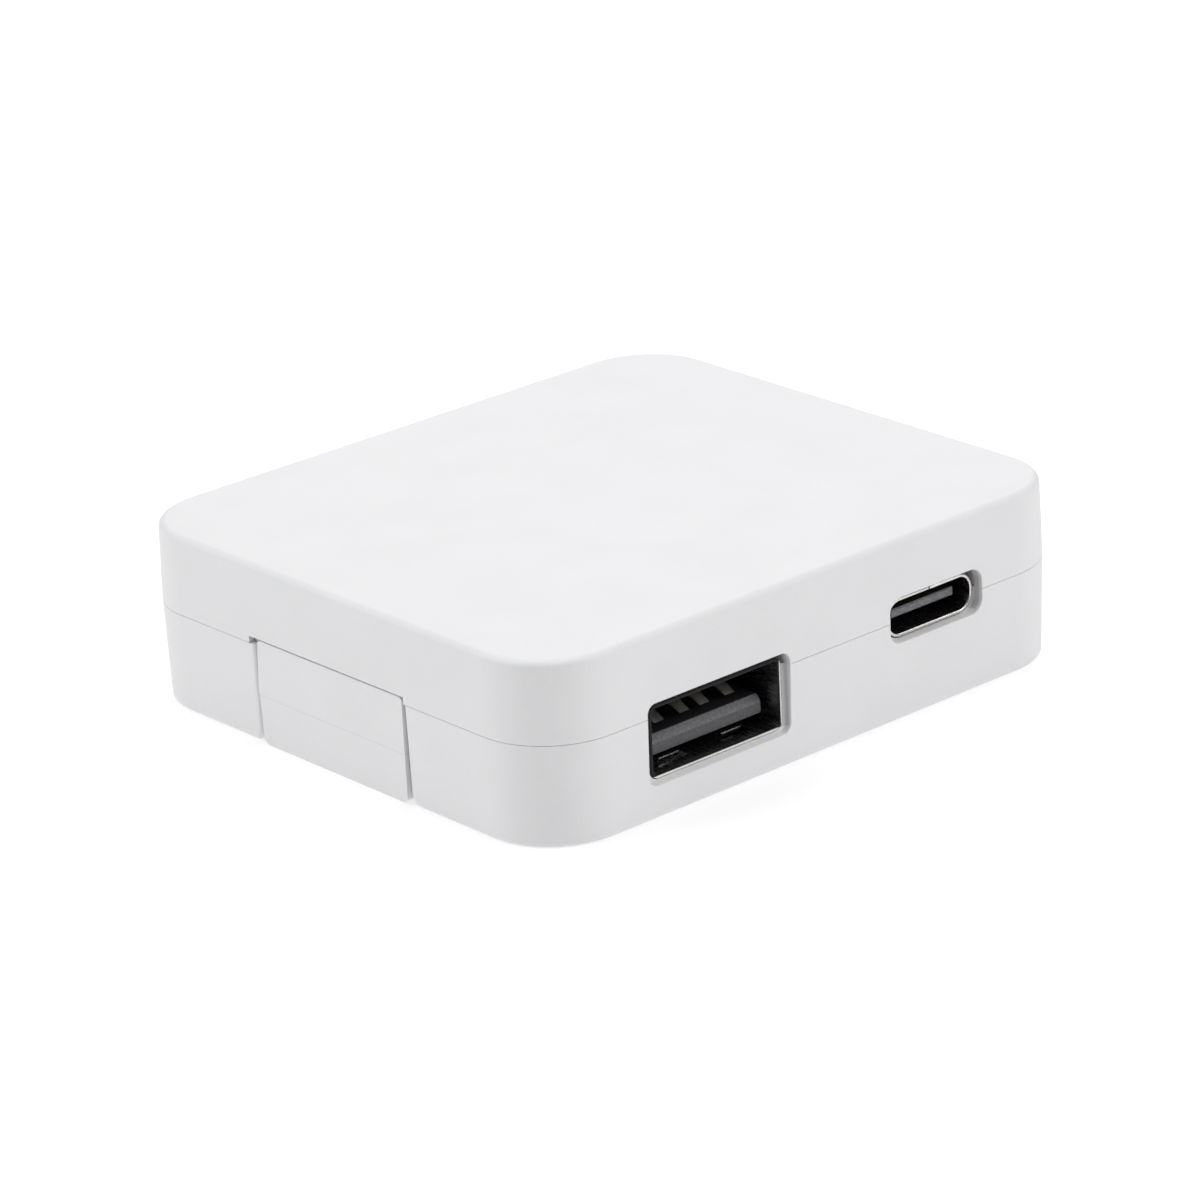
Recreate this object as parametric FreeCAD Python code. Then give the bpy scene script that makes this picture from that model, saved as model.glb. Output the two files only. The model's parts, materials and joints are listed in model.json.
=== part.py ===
import FreeCAD, Part

import math
import os

# Slim wall charger, in millimetres: a flat rounded box with a folding two-blade plug in one end
# and a USB-A and a USB-C receptacle in one long side.
# Frame: origin under the middle of the box, on the surface it rests on. +X is the long way and
# points away from the plug, +Z is up, and the receptacles face -Y.

V = FreeCAD.Vector
ALONG_X = V(1, 0, 0)
ALONG_Y = V(0, 1, 0)
ALONG_Z = V(0, 0, 1)
past = 1.0                    # how far a cutting tool reaches past what it cuts
bite = 0.2                    # how far pieces that are fused reach into each other
hair = 1e-3                   # tolerance for finding edges by their place

# ---------------------------------------------------------------- case
length = 54.4
width = 48.2
height = 14.4
split_height = 8.0            # where the two shells meet
corner_radius = 6.35
wall = 1.6
floor_thickness = 1.2
roof_thickness = 1.4
top_draft = 0.135             # how far the walls lean in at the top
bottom_draft = 0.20
top_rounding = 0.60
bottom_rounding = 0.42
seam_width = 0.04             # fine line between the shells, seen from outside
seam_depth = 0.20
lip_thickness = 0.70          # ring on the lower shell that centres the upper one
lip_height = 1.20
lip_clearance = 0.08

# ---------------------------------------------------------------- folding plug
hub_width = 17.0
hub_thickness = 4.4
hub_height = 8.43
hub_line_height = 4.26        # mould parting line round the hub
hub_draft = 0.10
hub_step = 0.03               # mismatch of the mould halves at the parting line
hub_top_corner = 0.50
hub_bottom_corner = 0.90
hub_top_edge = 0.20
hub_bottom_edge = 0.30
hub_skin = 0.90               # plastic left in front of the blade roots
hub_side_gap = 0.22
hub_top_gap = 0.16
hub_notch = 0.55              # extra width of the upper shell's window, on the far side
hub_swing_gap = 0.28
hub_lip = 0.50                # thin edge of the upper shell over the hub
pocket_edge = 0.35            # rounding of the lower shell's edges beside the hub
pocket_bottom_corner = 0.95
bay_wall = 1.00
blade_spacing = 12.70
blade_thickness = 1.50
blade_width = 6.35
blade_reach = 16.50           # from the hub's face to the tip
blade_tip_corner = 1.50
blade_tip_bevel = 0.35
blade_hole_radius = 1.50
blade_hole_from_hub = 11.70
blade_side_gap = 0.30
pin_radius = 0.90
pin_clearance = 0.04
pin_overhang = 0.15           # how far a pin's end stands out of its bearing wall
contact_gap = 0.05
contact_thickness = 0.25
contact_width = 2.40
contact_tab = 1.60
finger_scoop_depth = 2.60
finger_scoop_radius = 7.50

# ---------------------------------------------------------------- USB-A receptacle
usb_a_from_end = 16.98        # middle of the port, from the plug's end of the case
usb_a_height = 5.83
usb_a_opening = (14.00, 6.40)
usb_a_opening_corner = 0.75
usb_a_inner = (12.50, 5.12)
usb_a_metal = 0.30
usb_a_inner_corner = 0.45
usb_a_recess = 0.50
usb_a_ledge = 0.60            # depth of the recess; behind it the wall fits the shell closely
usb_a_lead_in = 0.06          # bevel inside the shell's mouth
usb_a_depth = 12.90
usb_a_tongue = (11.10, 1.34)
usb_a_tongue_floor_gap = 1.00
usb_a_tongue_recess = 1.10
usb_a_tongue_bevel = 0.60
usb_a_base = 3.20             # solid rear part of the insulator
usb_a_contact_places = (-3.50, -1.00, 1.00, 3.50)
usb_a_contact_width = 1.00
usb_a_contact_end = 0.40         # height of a contact's free end above the tongue
usb_a_contact_rise = 1.00
usb_a_contact_metal = 0.25
usb_a_contact_from_bevel = 0.60
usb_a_contact_steps = (1.10, 1.80, 3.80)   # where it crests, dips and returns to the tongue
usb_a_finger_places = (-3.10, 3.10)
usb_a_window = (3.30, 6.00)
usb_a_window_from_rim = 1.20
usb_a_finger_width = 2.00
usb_a_finger_slot = 0.70
usb_a_finger_rise = 0.40
usb_a_finger_dip = 0.15       # how far a finger's free end stands into the opening
port_clearance = 0.08         # between a receptacle's shell and the case
port_edge = 0.10              # rounding of the case's edges round the receptacles

# ---------------------------------------------------------------- USB-C receptacle
usb_c_from_far_end = 15.20    # middle of the port, from the other end of the case
usb_c_height = 7.90
usb_c_opening_rise = 0.12     # the window's middle, above the port's
usb_c_opening = (9.68, 3.60)
usb_c_opening_corner = 1.10
usb_c_inner = (8.60, 2.58)
usb_c_metal = 0.27
usb_c_inner_corner = 1.15
usb_c_rim_rounding = 0.10
usb_c_recess = 0.75
usb_c_ledge = 0.85
usb_c_depth = 7.30
usb_c_tongue = (6.69, 0.70)
usb_c_tongue_recess = 0.80
usb_c_base = 2.20
usb_c_contact_pitch = 0.50
usb_c_contacts_per_side = 12
usb_c_contact_width = 0.25
usb_c_contact_metal = 0.08
usb_c_contact_from_tip = 0.60
usb_c_seam = 0.10

# ---------------------------------------------------------------- inside
board_thickness = 1.00
board_edge_gap = 0.15         # between the board's edge and the case's centring lip
board_gap = 0.30              # between the board's cut-outs and what passes through them
rib_width = 2.00
rib_reach = 1.20
part_gap = 1.00               # between neighbouring components
roof_gap = 0.10
spreader_thickness = 0.50
pad_thickness = 0.35
sheet_thickness = 0.25
core_length = 15.0
core_width = 16.0
core_height = 5.0
core_leg = 2.4
core_middle_leg = 4.8
bobbin_wall = 0.70
bobbin_play = 0.05            # between the bobbin and the core
winding_build = 1.50
tape_thickness = 0.12
input_can_radius = 4.50
input_can_length = 16.0
output_can_radius = 3.15
output_can_length = 6.60
can_crimp = 0.35
fuse_radius = 1.30
fuse_length = 6.00
choke_radius = 4.40
choke_hole_radius = 2.20
choke_height = 3.60
choke_wire_radius = 0.45
choke_turns = 8
choke_lead_gap = 0.10         # between the winding and the board
disc_radius = 3.20
disc_thickness = 2.80
inductor_size = 6.0
inductor_height = 4.20
chip_stand = 0.10             # gap under a moulded package
chip_bevel = 0.15
leg_width = 0.40
leg_pitch = 1.27
leg_thickness = 0.20
leg_reach = 0.90
bridge_package = (4.70, 4.00)     # packages in plan, and the middles' distances from the middle plane
bridge_y = 7.00
controller_package = (4.90, 3.90)
controller_y = 0.50
switch_package = (6.20, 5.60)
switch_y = -7.00
optocoupler_package = (4.40, 4.00)
optocoupler_height = 2.00
rectifier_package = (4.90, 3.90)
rectifier_height = 1.50
port_controller_package = (4.00, 4.00)
port_controller_height = 0.90
port_controller_from_front = 10.10
pad_length = 7.00
pad_sides = (-9.50, 8.70)

# ---------------------------------------------------------------- places worked out from these
plug_end = -length / 2
far_end = length / 2
front = -width / 2
back = width / 2
inner_roof = height - roof_thickness
pivot = V(plug_end + hub_thickness / 2, 0, hub_thickness / 2)
hub_face = plug_end + hub_thickness
window_top = hub_height + hub_top_gap
pocket_half_width = hub_width / 2 + hub_side_gap
blade_middle_height = hub_height / 2
blade_low = blade_middle_height - blade_width / 2
blade_high = blade_middle_height + blade_width / 2
blade_tip = hub_face + blade_reach
swing_radius = math.hypot(hub_thickness / 2, hub_height - hub_thickness / 2) + hub_swing_gap
tip_swing = blade_tip_corner + math.hypot(
    blade_tip - blade_tip_corner - pivot.x,
    blade_high - blade_tip_corner - pivot.z)
channel_end = pivot.x + tip_swing + blade_side_gap
channel_high = blade_high + blade_side_gap
channel_inside = blade_spacing / 2 - blade_thickness / 2 - blade_side_gap
channel_outside = blade_spacing / 2 + blade_thickness / 2 + blade_side_gap
pocket_wall_x = pivot.x + swing_radius + bay_wall
pocket_roof = pivot.z + swing_radius + bay_wall
cheek_outside = pocket_half_width + bay_wall
pin_end = cheek_outside + pin_overhang
contact_start = plug_end + wall + contact_gap
contact_end = contact_start + contact_width
bay_end = channel_end + bay_wall
usb_a_x = plug_end + usb_a_from_end
usb_a_outer = (usb_a_inner[0] + 2 * usb_a_metal, usb_a_inner[1] + 2 * usb_a_metal)
usb_a_rim = front + usb_a_recess
usb_c_x = far_end - usb_c_from_far_end
usb_c_outer = (usb_c_inner[0] + 2 * usb_c_metal, usb_c_inner[1] + 2 * usb_c_metal)
usb_c_rim = front + usb_c_recess
board_low = usb_a_height + usb_a_outer[1] / 2
board_high = board_low + board_thickness
lip_inside = wall + lip_thickness
board_inset = lip_inside + board_edge_gap
board_far = far_end - board_inset
can_axis_height = (floor_thickness + inner_roof) / 2
can_y = back - lip_inside - part_gap / 4 - input_can_radius
can_window_front = can_y - input_can_radius - board_gap
core_x = bay_end + part_gap + core_length / 2
core_y = (usb_a_rim + usb_a_depth + can_y - input_can_radius) / 2
core_z = can_axis_height
core_window = (core_width - core_middle_leg - 2 * core_leg) / 2
winding_half_y = core_middle_leg / 2 + bobbin_wall + winding_build
winding_half_z = core_height / 2 + bobbin_wall + winding_build
side_x = board_far - part_gap - output_can_radius
chip_top = inner_roof - roof_gap - spreader_thickness - pad_thickness


# ---------------------------------------------------------------- shapes used throughout
def block(x_range, y_range, z_range):
    """Box between three pairs of limits."""
    size = [limits[1] - limits[0] for limits in (x_range, y_range, z_range)]
    return Part.makeBox(*size, V(x_range[0], y_range[0], z_range[0]))


def mirrored(low, high):
    """A range and its mirror image on the other side of zero."""
    return ((low, high), (-high, -low))


def rounded_wire(centre, across, up, size, radii):
    """Closed rectangle about centre with rounded corners: radii are (upper, lower)."""
    half_w, half_h = size[0] / 2, size[1] / 2
    bow = math.sqrt(0.5)
    edges = []
    ends = []
    for side, level in ((1, 1), (-1, 1), (-1, -1), (1, -1)):
        radius = radii[0] if level > 0 else radii[1]
        middle = (side * (half_w - radius), level * (half_h - radius))
        on_side = (side * half_w, middle[1])
        on_level = (middle[0], level * half_h)
        between = (middle[0] + side * radius * bow, middle[1] + level * radius * bow)
        turn = [on_side, between, on_level]
        if side * level < 0:
            turn.reverse()
        ends.append([centre + across * a + up * b for a, b in turn])
    for place, turn in enumerate(ends):
        following = ends[(place + 1) % len(ends)]
        edges.append(Part.Arc(*turn).toShape())
        edges.append(Part.LineSegment(turn[2], following[0]).toShape())
    return Part.Wire(edges)


def outline(level, inset):
    """The case's plan at one height, moved in by inset all round."""
    radius = corner_radius - inset
    size = (length - 2 * inset, width - 2 * inset)
    return rounded_wire(V(0, 0, level), ALONG_X, ALONG_Y, size, (radius, radius))


def plan_block(inset, z_range):
    """Upright block with the case's plan, moved in by inset."""
    face = Part.Face(outline(z_range[0], inset))
    return face.extrude(ALONG_Z * (z_range[1] - z_range[0]))


def plan_ring(outer_inset, inner_inset, z_range):
    """Upright ring between two insets of the case's plan."""
    return plan_block(outer_inset, z_range).cut(plan_block(inner_inset, z_range))


def port_block(x, z, size, corner, y_range):
    """Rounded bar along Y, as wide and high as size."""
    wire = rounded_wire(V(x, y_range[0], z), ALONG_X, ALONG_Z, size, (corner, corner))
    return Part.Face(wire).extrude(ALONG_Y * (y_range[1] - y_range[0]))


def polygon_prism(points, way):
    """Prism of a closed polygon of 3-D points."""
    return Part.Face(Part.makePolygon(points + points[:1])).extrude(way)


def cylinder(radius, start, end):
    """Round bar between two points."""
    way = end - start
    return Part.makeCylinder(radius, way.Length, start, way)


def fused(shapes):
    """One clean solid from overlapping or touching ones."""
    return shapes[0].multiFuse(shapes[1:]).removeSplitter()


def edges_where(shape, test):
    """Edges whose bounding box passes the test."""
    return [edge for edge in shape.Edges if test(edge.BoundBox)]


def level_edges(shape, level):
    """Edges that lie in the plane of one height."""
    return edges_where(shape, lambda box: max(abs(box.ZMin - level), abs(box.ZMax - level)) < hair)


def leaning_case(wide_level, narrow_level, inset, rounding):
    """Half of the case's outside, full size at the seam and rounded at its far face."""
    wires = [outline(wide_level, 0), outline(narrow_level, inset)]
    solid = Part.makeLoft(wires, True, True)
    return solid.makeFillet(rounding, level_edges(solid, narrow_level))


def port_cuts(x, recess_z, opening, corner, z, outer, outer_corner, ledge):
    """A receptacle's place in the case: a wide recess, then a close hole round its shell."""
    hole = (outer[0] + 2 * port_clearance, outer[1] + 2 * port_clearance)
    recess = port_block(x, recess_z, opening, corner, (front - past, front + ledge))
    through = port_block(x, z, hole, outer_corner + port_clearance,
                         (front, front + lip_inside + bite))
    return recess.fuse(through)


def usb_a_cuts(ledge):
    """The case's window round the USB-A receptacle, wide as far as the ledge."""
    return port_cuts(usb_a_x, usb_a_height, usb_a_opening, usb_a_opening_corner,
                     usb_a_height, usb_a_outer, usb_a_inner_corner + usb_a_metal, ledge)


def usb_c_cuts(ledge):
    """The case's window round the USB-C receptacle, wide as far as the ledge."""
    return port_cuts(usb_c_x, usb_c_height + usb_c_opening_rise, usb_c_opening, usb_c_opening_corner,
                     usb_c_height, usb_c_outer, usb_c_inner_corner + usb_c_metal, ledge)


def soften_ports(shell):
    """Round the edges where the case's outside meets the two recesses."""
    leaning = front + max(top_draft, bottom_draft) + hair

    def at_port(box, x, z, opening):
        across = max(abs(box.XMin - x), abs(box.XMax - x)) < opening[0] / 2 + hair
        return across and max(abs(box.ZMin - z), abs(box.ZMax - z)) < opening[1] / 2 + hair

    edges = edges_where(shell, lambda box: box.YMax < leaning and box.DiagonalLength > seam_depth
                        and (at_port(box, usb_a_x, usb_a_height, usb_a_opening)
                             or at_port(box, usb_c_x, usb_c_height + usb_c_opening_rise,
                                    usb_c_opening)))
    return shell.makeFillet(port_edge, edges)


def pivot_cylinder(radius, half_width):
    """Round bar on the plug's pivot axis."""
    middle = V(pivot.x, 0, pivot.z)
    return cylinder(radius, middle - ALONG_Y * half_width, middle + ALONG_Y * half_width)


def rib_places():
    """Plan boxes of the ribs that hold the board: two in front, one behind, two at the far end."""
    reach = lip_inside + rib_reach
    ribs = []
    for x in (usb_a_x + usb_a_outer[0] / 2 + part_gap + rib_width, far_end - corner_radius - rib_width):
        ribs.append(((x, x + rib_width), (front + wall, front + reach)))
    ribs.append(((far_end - corner_radius - rib_width, far_end - corner_radius),
                 (back - reach, back - wall)))
    for y in (front + corner_radius + rib_width, back - corner_radius - 2 * rib_width):
        ribs.append(((far_end - reach, far_end - wall), (y, y + rib_width)))
    return ribs


# ---------------------------------------------------------------- case shells
def upper_shell():
    """Lid: roof and upper walls, with windows for the ports and the hub."""
    shell = leaning_case(split_height, height, top_draft, top_rounding)
    shell = shell.cut(plan_block(wall, (split_height - past, inner_roof)))
    seam = plan_ring(-past, seam_depth, (split_height - past, split_height + seam_width))
    shell = shell.cut(seam)
    ribs = [block(x, y, (board_high, inner_roof + bite)) for x, y in rib_places()]
    ribs = [rib.cut(plan_ring(0, wall + lip_thickness + lip_clearance,
                              (0, split_height + lip_height + lip_clearance))) for rib in ribs]
    shell = fused([shell] + ribs)
    shell = shell.cut(usb_a_cuts(wall + bite)).cut(usb_c_cuts(wall + bite))
    window = block((plug_end - past, plug_end + wall + past),
                   (-pocket_half_width, pocket_half_width + hub_notch), (0, window_top))
    loose = lip_clearance
    relief = block((plug_end + hub_lip, plug_end + wall + past),
                   (-cheek_outside - loose, cheek_outside + loose), (0, pocket_roof + loose))
    return soften_ports(shell.cut(window).cut(relief))


def plug_bay():
    """Walls round the hub's pocket and round the two blade channels."""
    side = (-cheek_outside, cheek_outside)
    inside_wall = plug_end + wall / 2
    behind_lip = plug_end + hub_lip + lip_clearance
    walls = [
        block((inside_wall, pocket_wall_x), side, (floor_thickness / 2, split_height)),
        block((behind_lip, pocket_wall_x), side, (split_height - seam_depth, pocket_roof)),
    ]
    for y_low, y_high in mirrored(channel_inside - bay_wall, channel_outside + bay_wall):
        walls.append(block((pivot.x, bay_end), (y_low, y_high),
                           (floor_thickness / 2, channel_high + bay_wall)))
    scoop_wall = cylinder(finger_scoop_radius + bay_wall, scoop_axis(-cheek_outside),
                          scoop_axis(cheek_outside))
    walls.append(scoop_wall.common(block((inside_wall, bay_end + part_gap / 2), side,
                                         (floor_thickness / 2, height))))
    return walls


def scoop_axis(y):
    """Point on the axis of the round finger scoop, which crosses both channels near the tips."""
    half_chord = math.sqrt(finger_scoop_radius ** 2 - (finger_scoop_radius - finger_scoop_depth) ** 2)
    return V(channel_end - half_chord, y, finger_scoop_depth - finger_scoop_radius)


def plug_bay_cuts():
    """What is open in the bay: hub pocket, pin bores, blade channels and finger scoop."""
    sweep = pivot_cylinder(swing_radius, pocket_half_width)
    sweep = sweep.common(block((plug_end + hub_lip, far_end), (-width, width), (-height, height)))
    rest = block((plug_end - past, hub_face + hub_side_gap),
                 (-pocket_half_width, pocket_half_width), (-past, window_top))
    cuts = [sweep, rest, pivot_cylinder(pin_radius + pin_clearance, cheek_outside + past)]
    for y_low, y_high in mirrored(channel_inside, channel_outside):
        cuts.append(block((pivot.x, channel_end), (y_low, y_high), (-past, channel_high)))
    cuts.append(cylinder(finger_scoop_radius, scoop_axis(-pocket_half_width),
                         scoop_axis(pocket_half_width)))
    return cuts


def lower_shell():
    """Tray: floor and lower walls, the centring lip, the plug bay and ribs under the board."""
    shell = leaning_case(split_height, 0, bottom_draft, bottom_rounding)
    shell = shell.cut(plan_block(wall, (floor_thickness, split_height + past)))
    lip = plan_ring(wall, lip_inside, (split_height - lip_height, split_height))
    lip = lip.fuse(plan_ring(wall + lip_clearance, lip_inside,
                             (split_height - lip_height, split_height + lip_height)))
    clear = pin_end + contact_gap + contact_tab + part_gap / 2
    lip = lip.cut(block((plug_end, plug_end + lip_inside + bite), (-clear, clear), (0, height)))
    ribs = [block(x, y, (floor_thickness - bite, board_low)) for x, y in rib_places()]
    ribs = [rib.cut(plan_ring(0, wall + lip_clearance, (split_height, height))) for rib in ribs]
    shell = fused([shell, lip] + plug_bay() + ribs)
    for cut in plug_bay_cuts() + flare_cuts():
        shell = shell.cut(cut)
    shell = shell.cut(usb_a_cuts(usb_a_ledge)).cut(usb_c_cuts(usb_c_ledge))
    return soften_ports(soften_pocket(shell.removeSplitter()))


def flare_cuts():
    """Rounds off the two long bottom edges of the hub's pocket."""
    radius = pocket_bottom_corner
    ends = (plug_end - past, hub_face + hub_side_gap)
    cuts = []
    for side in (1, -1):
        middle = side * (pocket_half_width + radius)
        y_range = sorted((side * pocket_half_width, middle))
        rounding = cylinder(radius, V(ends[0], middle, radius), V(ends[1], middle, radius))
        cuts.append(block(ends, y_range, (-past, radius)).cut(rounding))
    return cuts


def soften_pocket(shell):
    """Round the edges of the tray's end wall where the hub's pocket opens."""
    reach = (pocket_half_width - hair, pocket_half_width + pocket_bottom_corner + hair)

    def beside_hub(box):
        near, far = sorted((abs(box.YMin), abs(box.YMax)))
        in_reach = near > reach[0] and far < reach[1] and box.YMin * box.YMax > 0
        outside = box.XMax < plug_end + bottom_draft + bottom_rounding
        return in_reach and outside and box.ZLength > seam_width and box.ZMax < split_height + hair

    return shell.makeFillet(pocket_edge, edges_where(shell, beside_hub))


# ---------------------------------------------------------------- folding plug
def hub_half(low, high, at_line, skew):
    """Part of the hub between two heights; the outline leans in away from the parting line."""
    def ring(level, inset):
        x_near = plug_end + inset
        half = hub_width / 2 - inset
        corners = [(x_near, -half), (hub_face, -half), (hub_face, half), (x_near, half)]
        return Part.makePolygon([V(x, y, level) for x, y in corners + corners[:1]])
    line_inset, end_inset = skew
    levels = [(low, end_inset), (high, line_inset)]
    if at_line == low:
        levels = [(low, line_inset), (high, end_inset)]
    return Part.makeLoft([ring(*level) for level in levels], True, True)


def plug_hub():
    """Moulded block that carries the blades; flush with the end when folded in or out."""
    upper = hub_half(hub_line_height, hub_height, hub_line_height, (0, hub_draft))
    lower = hub_half(0, hub_line_height, hub_line_height, (hub_step, hub_draft + hub_step))
    hub = fused([upper, lower])
    middle = V(plug_end - past, 0, hub_height / 2)
    across = Part.Face(rounded_wire(middle, ALONG_Y, ALONG_Z, (hub_width, hub_height),
                                    (hub_top_corner, hub_bottom_corner)))
    hub = hub.common(across.extrude(ALONG_X * (hub_thickness + 2 * past)))
    side_size = (2 * hub_thickness, hub_height)
    side_middle = V(hub_face, -hub_width, hub_height / 2)
    side = Part.Face(rounded_wire(side_middle, ALONG_X * -1, ALONG_Z, side_size,
                                  (hub_top_edge, hub_bottom_edge)))
    hub = hub.common(side.extrude(ALONG_Y * (2 * hub_width)))
    for y_low, y_high in mirrored(*blade_sides()):
        hub = hub.cut(block((plug_end + hub_skin, hub_face + past), (y_low, y_high),
                            (blade_low, blade_high)))
    bore = pivot_cylinder(pin_radius, hub_width)
    inside = blade_sides()[1]
    return hub.cut(bore.cut(block((-length, length), (-inside, inside), (-height, height))))


def blade_sides():
    """Distances of a blade's two faces from the middle plane."""
    middle = blade_spacing / 2
    return (middle - blade_thickness / 2, middle + blade_thickness / 2)


def blade(y_range):
    """Flat blade with a rounded, bevelled tip and the hole that a socket's detent can catch."""
    root = plug_end + hub_skin
    solid = block((root, blade_tip), y_range, (blade_low, blade_high))
    tip_edges = edges_where(solid, lambda box: box.XMin > blade_tip - hair and box.YLength > hair
                            and box.ZLength < hair)
    solid = solid.makeFillet(blade_tip_corner, tip_edges)
    rim = edges_where(solid, lambda box: box.XMax > blade_tip - blade_tip_corner - hair
                      and box.XMin > root + hair and box.YLength < hair)
    solid = solid.makeChamfer(blade_tip_bevel, rim)
    hole_x = hub_face + blade_hole_from_hub
    hole = cylinder(blade_hole_radius, V(hole_x, y_range[0] - past, blade_middle_height),
                    V(hole_x, y_range[1] + past, blade_middle_height))
    return solid.cut(hole)


def pivot_pin(side):
    """Metal pin from a blade's outer face, through the hub, into the bearing wall."""
    start = V(pivot.x, side * blade_sides()[1], pivot.z)
    end = V(pivot.x, side * pin_end, pivot.z)
    return cylinder(pin_radius, start, end)


def contact_spring(side):
    """Bent strip that faces a pin's end and reaches up to a tab on the board."""
    near = pin_end + contact_gap
    far = near + contact_thickness
    low = floor_thickness + contact_gap
    strip = [(near, low), (far, low), (far, board_high), (near + contact_tab, board_high),
             (near + contact_tab, board_high + contact_thickness),
             (near, board_high + contact_thickness)]
    points = [V(contact_start, side * y, z) for y, z in strip]
    return polygon_prism(points, ALONG_X * contact_width)


# ---------------------------------------------------------------- receptacles
def usb_a_shell():
    """Drawn steel shell with two spring fingers in its floor and two in its ceiling."""
    span = (usb_a_rim, usb_a_rim + usb_a_depth)
    outer = port_block(usb_a_x, usb_a_height, usb_a_outer, usb_a_inner_corner + usb_a_metal, span)
    shell = outer.cut(port_block(usb_a_x, usb_a_height, usb_a_inner, usb_a_inner_corner, span))
    half_wide, half_high = usb_a_inner[0] / 2 + hair, usb_a_inner[1] / 2 + hair
    mouth = edges_where(shell, lambda box: box.YMax < usb_a_rim + hair
                        and box.XMin > usb_a_x - half_wide and box.XMax < usb_a_x + half_wide
                        and box.ZMin > usb_a_height - half_high and box.ZMax < usb_a_height + half_high)
    shell = shell.makeChamfer(usb_a_lead_in, mouth)
    start = usb_a_rim + usb_a_window_from_rim
    pieces = []
    for side in (1, -1):
        wall_z = usb_a_height + side * usb_a_inner[1] / 2
        for offset in usb_a_finger_places:
            x = usb_a_x + offset
            window_x = (x - usb_a_window[0] / 2, x + usb_a_window[0] / 2)
            z_range = sorted((wall_z - side * bite, wall_z + side * (usb_a_metal + bite)))
            shell = shell.cut(block(window_x, (start, start + usb_a_window[1]), z_range))
            pieces.append(spring_finger(x, start, wall_z, side))
    return fused([shell] + pieces)


def spring_finger(x, start, wall_z, side):
    """Finger hinged at the rear of its window, bowed into the opening."""
    tip = start + usb_a_finger_slot
    rear = start + usb_a_window[1]
    crest = tip + (rear - tip) / 3
    inner = [(tip, usb_a_finger_dip), (crest, usb_a_finger_rise), (rear, 0)]
    outer = [(y, rise - usb_a_metal) for y, rise in reversed(inner)]
    points = [V(x - usb_a_finger_width / 2, y, wall_z - side * rise) for y, rise in inner + outer]
    return polygon_prism(points, ALONG_X * usb_a_finger_width)


def usb_a_tongue_top():
    """Height of the tongue's contact side."""
    return usb_a_height - usb_a_inner[1] / 2 + usb_a_tongue_floor_gap + usb_a_tongue[1]


def usb_a_insulator():
    """Moulded block at the rear of the shell, with the tongue in front of it."""
    rear = usb_a_rim + usb_a_depth
    base = port_block(usb_a_x, usb_a_height, usb_a_inner, usb_a_inner_corner,
                      (rear - usb_a_base, rear))
    top = usb_a_tongue_top()
    tip = usb_a_rim + usb_a_tongue_recess
    bevel = usb_a_tongue_bevel
    half = usb_a_tongue[0] / 2
    profile = [(tip, top - usb_a_tongue[1]), (rear - usb_a_base, top - usb_a_tongue[1]),
               (rear - usb_a_base, top), (tip + bevel, top), (tip, top - bevel)]
    points = [V(usb_a_x - half, y, z) for y, z in profile]
    tongue = polygon_prism(points, ALONG_X * usb_a_tongue[0])
    nose = edges_where(tongue, lambda box: abs(box.YMax - tip) < hair and box.XLength < hair
                       and box.ZLength > hair)
    tongue = tongue.makeFillet(usb_a_tongue_bevel / 2, nose)
    block_shape = fused([base, tongue])
    for contact in contact_strips():
        block_shape = block_shape.cut(contact)
    return block_shape


def contact_strips():
    """The four spring contacts: let into the tongue, bowed up off it, and free in front."""
    top = usb_a_tongue_top()
    metal = usb_a_contact_metal
    tip = usb_a_rim + usb_a_tongue_recess + usb_a_tongue_bevel + usb_a_contact_from_bevel
    crests, dips, returns = [tip + step for step in usb_a_contact_steps]
    rear = usb_a_rim + usb_a_depth
    crest = top + usb_a_contact_rise
    path = [(tip, top + usb_a_contact_end), (crests, crest), (dips, crest), (returns, top),
            (rear - usb_a_base, top), (rear, top)]
    under = [(y, z - metal) for y, z in reversed(path[1:])]
    strips = []
    for place in usb_a_contact_places:
        x = usb_a_x + place - usb_a_contact_width / 2
        points = [V(x, y, z) for y, z in path + under]
        strips.append(polygon_prism(points, ALONG_X * usb_a_contact_width))
    return strips


def usb_c_shell():
    """Seamed steel shell with a rounded rim."""
    span = (usb_c_rim, usb_c_rim + usb_c_depth)
    corner = usb_c_inner_corner
    outer = port_block(usb_c_x, usb_c_height, usb_c_outer, corner + usb_c_metal, span)
    shell = outer.cut(port_block(usb_c_x, usb_c_height, usb_c_inner, corner, span))
    rim = edges_where(shell, lambda box: box.YMax < usb_c_rim + hair)
    shell = shell.makeFillet(usb_c_rim_rounding, rim)
    top = usb_c_height + usb_c_inner[1] / 2
    seam = block((usb_c_x - usb_c_seam / 2, usb_c_x + usb_c_seam / 2),
                 (span[0] - past, span[1] - usb_c_base), (top - bite, top + usb_c_metal + bite))
    return shell.cut(seam)


def usb_c_insulator():
    """Moulded base with the thin middle tongue."""
    rear = usb_c_rim + usb_c_depth
    base = port_block(usb_c_x, usb_c_height, usb_c_inner, usb_c_inner_corner,
                      (rear - usb_c_base, rear))
    tip = usb_c_rim + usb_c_tongue_recess
    tongue = block((usb_c_x - usb_c_tongue[0] / 2, usb_c_x + usb_c_tongue[0] / 2),
                   (tip, rear - usb_c_base),
                   (usb_c_height - usb_c_tongue[1] / 2, usb_c_height + usb_c_tongue[1] / 2))
    nose = edges_where(tongue, lambda box: box.YMax < tip + hair)
    tongue = tongue.makeChamfer(usb_c_tongue[1] / 5, nose)
    body = fused([base, tongue])
    return body.cut(usb_c_contacts())


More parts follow.
